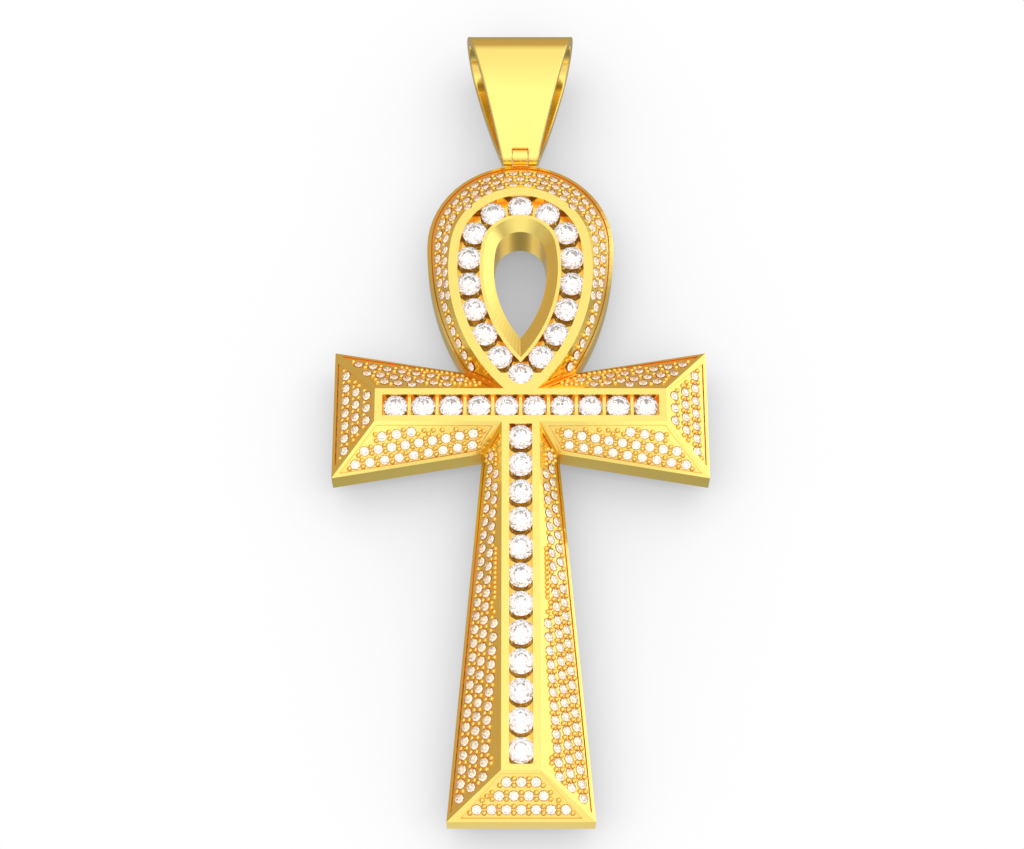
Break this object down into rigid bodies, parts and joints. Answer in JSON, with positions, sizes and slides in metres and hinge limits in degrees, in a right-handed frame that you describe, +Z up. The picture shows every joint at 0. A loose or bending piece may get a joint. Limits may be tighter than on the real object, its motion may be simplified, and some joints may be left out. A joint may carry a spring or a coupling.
{
  "type": "ankh pendant",
  "caption": "Ankh pendant with a teardrop loop and bevelled, flared arms, channel-set and pave-set with round stones, hung on a hinge from a tapered bail.",
  "frame": {"origin": "where the chain lies: the middle of the bail's width, on the inside of its top", "axes": "+X to the right of the front, +Y towards the back, +Z up"},
  "size_m": [0.0366, 0.008, 0.0835],
  "materials": {
    "gold": "polished yellow gold",
    "stone": "clear, cut and polished"
  },
  "bodies": {
    "bail": {"bail": "gold", "hinge_pin": "gold"},
    "ankh": {"ankh_body": "gold", "crossbar_stone_1": "stone", "crossbar_stone_2": "stone", "crossbar_stone_3": "stone", "crossbar_stone_4": "stone", "crossbar_stone_5": "stone", "crossbar_stone_6": "stone", "crossbar_stone_7": "stone", "crossbar_stone_8": "stone", "crossbar_stone_9": "stone", "crossbar_stone_10": "stone", "stem_stone_1": "stone", "stem_stone_2": "stone", "stem_stone_3": "stone", "stem_stone_4": "stone", "stem_stone_5": "stone", "stem_stone_6": "stone", "stem_stone_7": "stone", "stem_stone_8": "stone", "stem_stone_9": "stone", "stem_stone_10": "stone", "stem_stone_11": "stone", "stem_stone_12": "stone", "loop_stone_1": "stone", "loop_stone_2": "stone", "loop_stone_3": "stone", "loop_stone_4": "stone", "loop_stone_5": "stone", "loop_stone_6": "stone", "loop_stone_7": "stone", "loop_stone_8": "stone", "loop_stone_9": "stone", "loop_stone_10": "stone", "loop_stone_11": "stone", "loop_stone_12": "stone", "loop_stone_13": "stone", "loop_stone_14": "stone", "loop_stone_15": "stone", "loop_stone_16": "stone", "pave_loop": "stone", "pave_foot": "stone", "pave_arm_top_left": "stone", "pave_arm_top_right": "stone", "pave_arm_low_left": "stone", "pave_arm_low_right": "stone", "pave_arm_end_left": "stone", "pave_arm_end_right": "stone"}
  },
  "joints": [
    {"name": "bail_hinge", "type": "hinge", "parent": "bail", "child": "ankh", "pos_m": [0, 0, -0.0129], "axis": [1, 0, 0], "range_deg": [-76, 62]}
  ]
}
